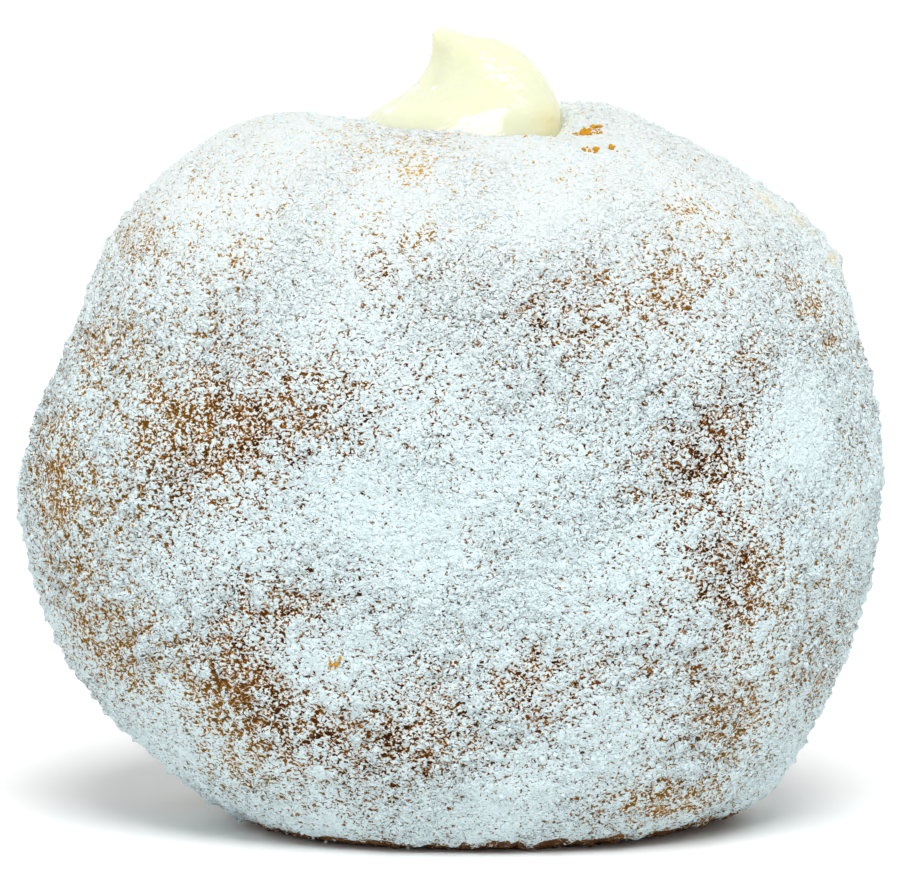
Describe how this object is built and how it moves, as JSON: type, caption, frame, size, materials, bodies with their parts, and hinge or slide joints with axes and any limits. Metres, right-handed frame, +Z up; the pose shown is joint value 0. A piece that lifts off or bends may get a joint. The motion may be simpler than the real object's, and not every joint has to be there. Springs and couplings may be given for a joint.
{
  "type": "filled sugar doughnut",
  "caption": "Round yeast doughnut dusted with fine sugar, stood on its rim, with a dollop of pale custard cream piped into the hole at its top.",
  "frame": {"origin": "on the flat foot, under the middle of the doughnut's box", "axes": "+X along the rim to the right as seen on the front fried face, +Y from the front fried face to the back one, +Z up to the cream"},
  "size_m": [0.0874, 0.0536, 0.081],
  "materials": {
    "sugared_crust": "dry fine sugar over golden brown fried crust",
    "custard_cream": "smooth wet sheen"
  },
  "bodies": {
    "root": {"dough": "sugared_crust", "cream": "custard_cream"}
  },
  "joints": []
}
